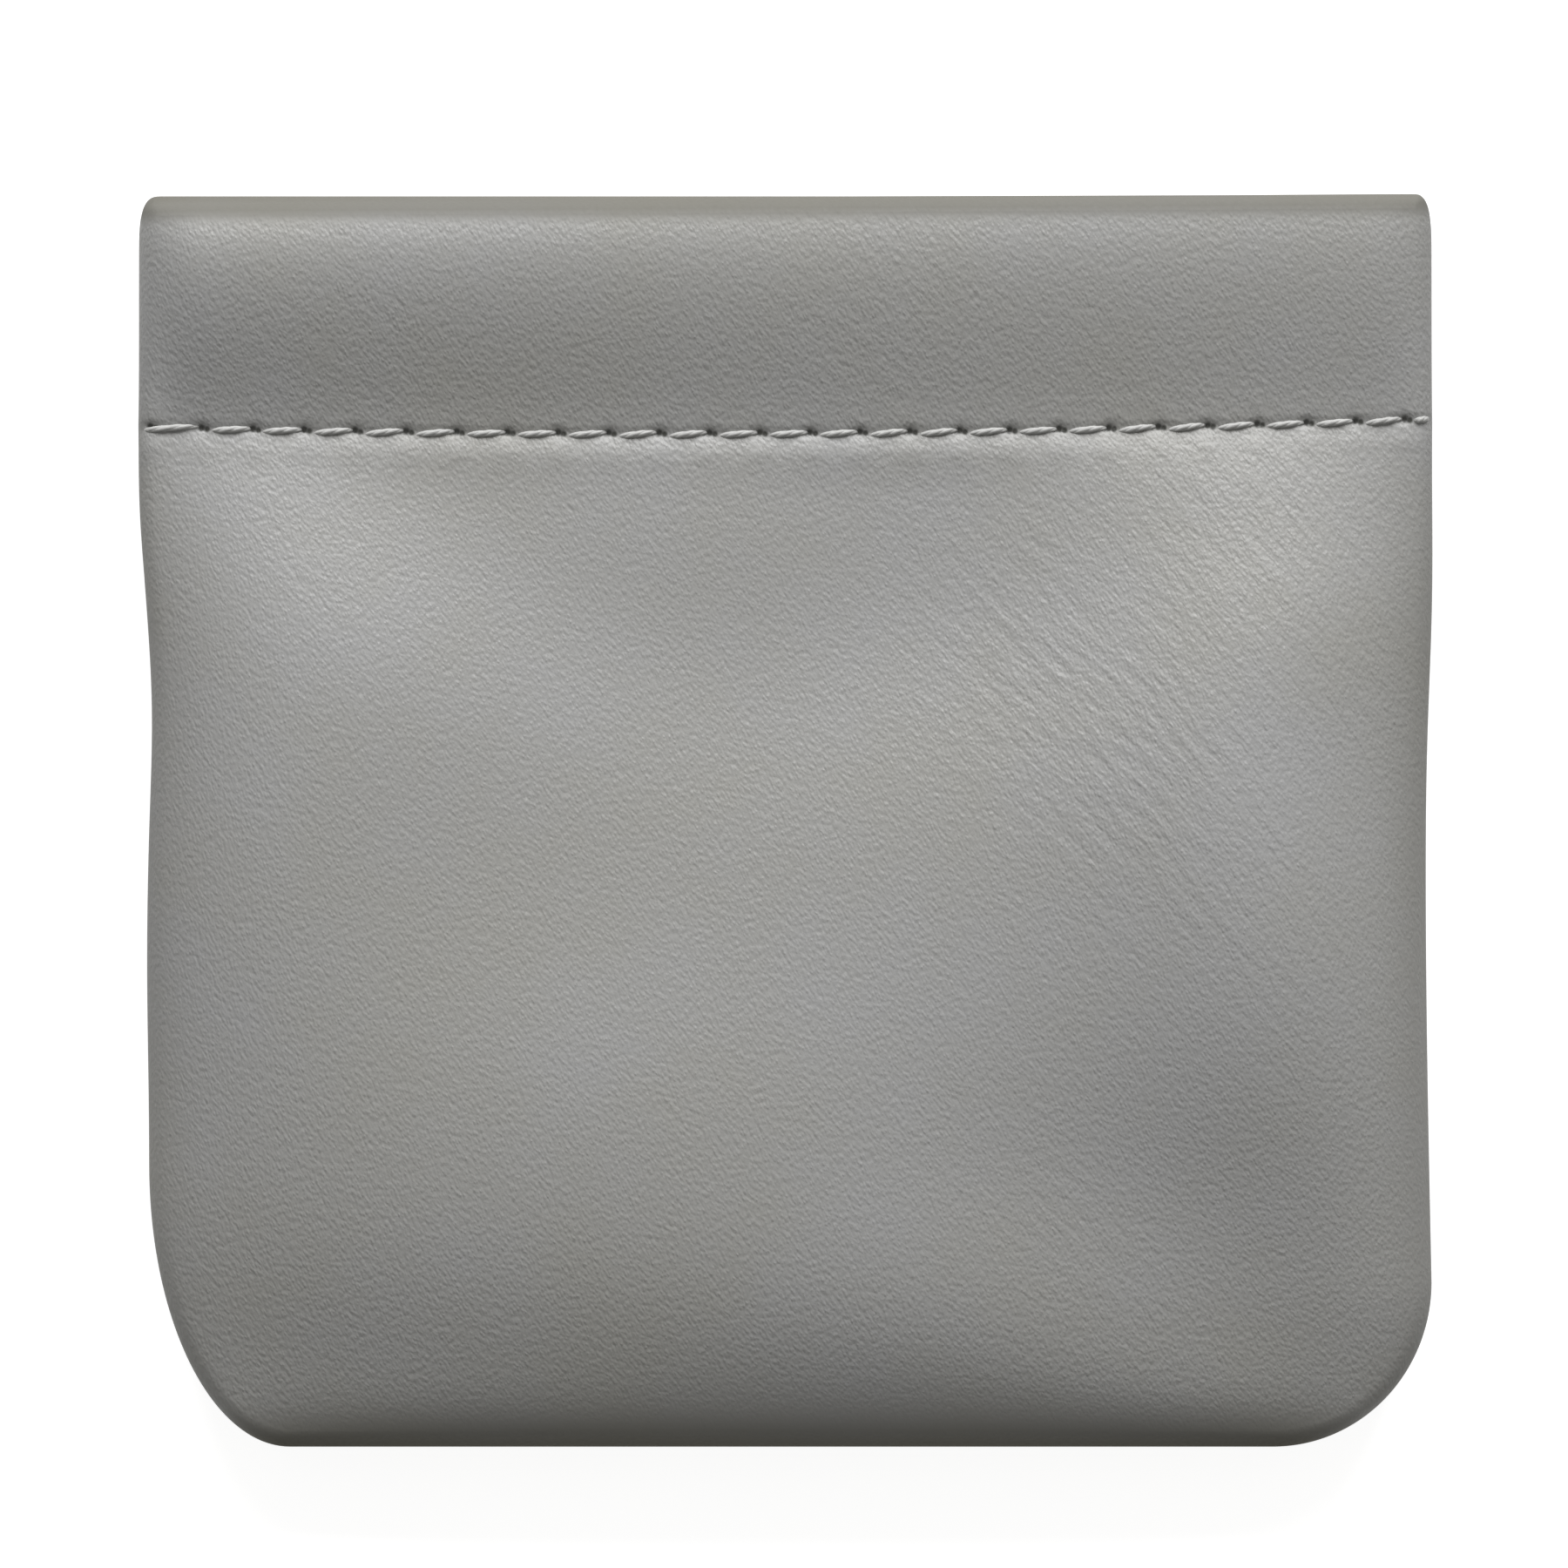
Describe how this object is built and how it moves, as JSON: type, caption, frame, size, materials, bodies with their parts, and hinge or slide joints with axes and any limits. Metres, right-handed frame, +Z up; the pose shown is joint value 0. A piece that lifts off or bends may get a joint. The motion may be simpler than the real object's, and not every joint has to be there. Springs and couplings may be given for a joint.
{
  "type": "cosmetic pouch",
  "caption": "Small flat pouch of soft leather with a self-closing mouth: spring strips in the two hems hold it shut until its ends are squeezed.",
  "frame": {"origin": "on the table, under the middle of the pouch as it lies on its back", "axes": "+X across the mouth to the right as seen from the front, +Y from the bottom seam to the mouth, +Z up out of the front"},
  "size_m": [0.11, 0.1064, 0.0147],
  "materials": {
    "grey_leather": "smooth coated leather with a fine grain and a satin sheen",
    "lining_cloth": "thin plain-woven polyester",
    "spring_steel": "bare rolled spring steel",
    "sewing_thread": "twisted polyester thread"
  },
  "bodies": {
    "back_half": {"back_leather_panel": "grey_leather", "back_lining": "lining_cloth", "back_spring_strip": "spring_steel", "back_hem_needle_thread": "sewing_thread", "back_hem_bobbin_thread": "sewing_thread", "back_seam_thread": "sewing_thread"},
    "front_half": {"front_leather_panel": "grey_leather", "front_lining": "lining_cloth", "front_spring_strip": "spring_steel", "front_hem_needle_thread": "sewing_thread", "front_hem_bobbin_thread": "sewing_thread", "front_seam_thread": "sewing_thread"}
  },
  "joints": [
    {"name": "mouth_opening", "type": "hinge", "parent": "back_half", "child": "front_half", "pos_m": [0, -0.0532, 0.00475], "axis": [1, 0, 0], "range_deg": [0, 20], "stiffness_Nm_per_rad": 1}
  ]
}
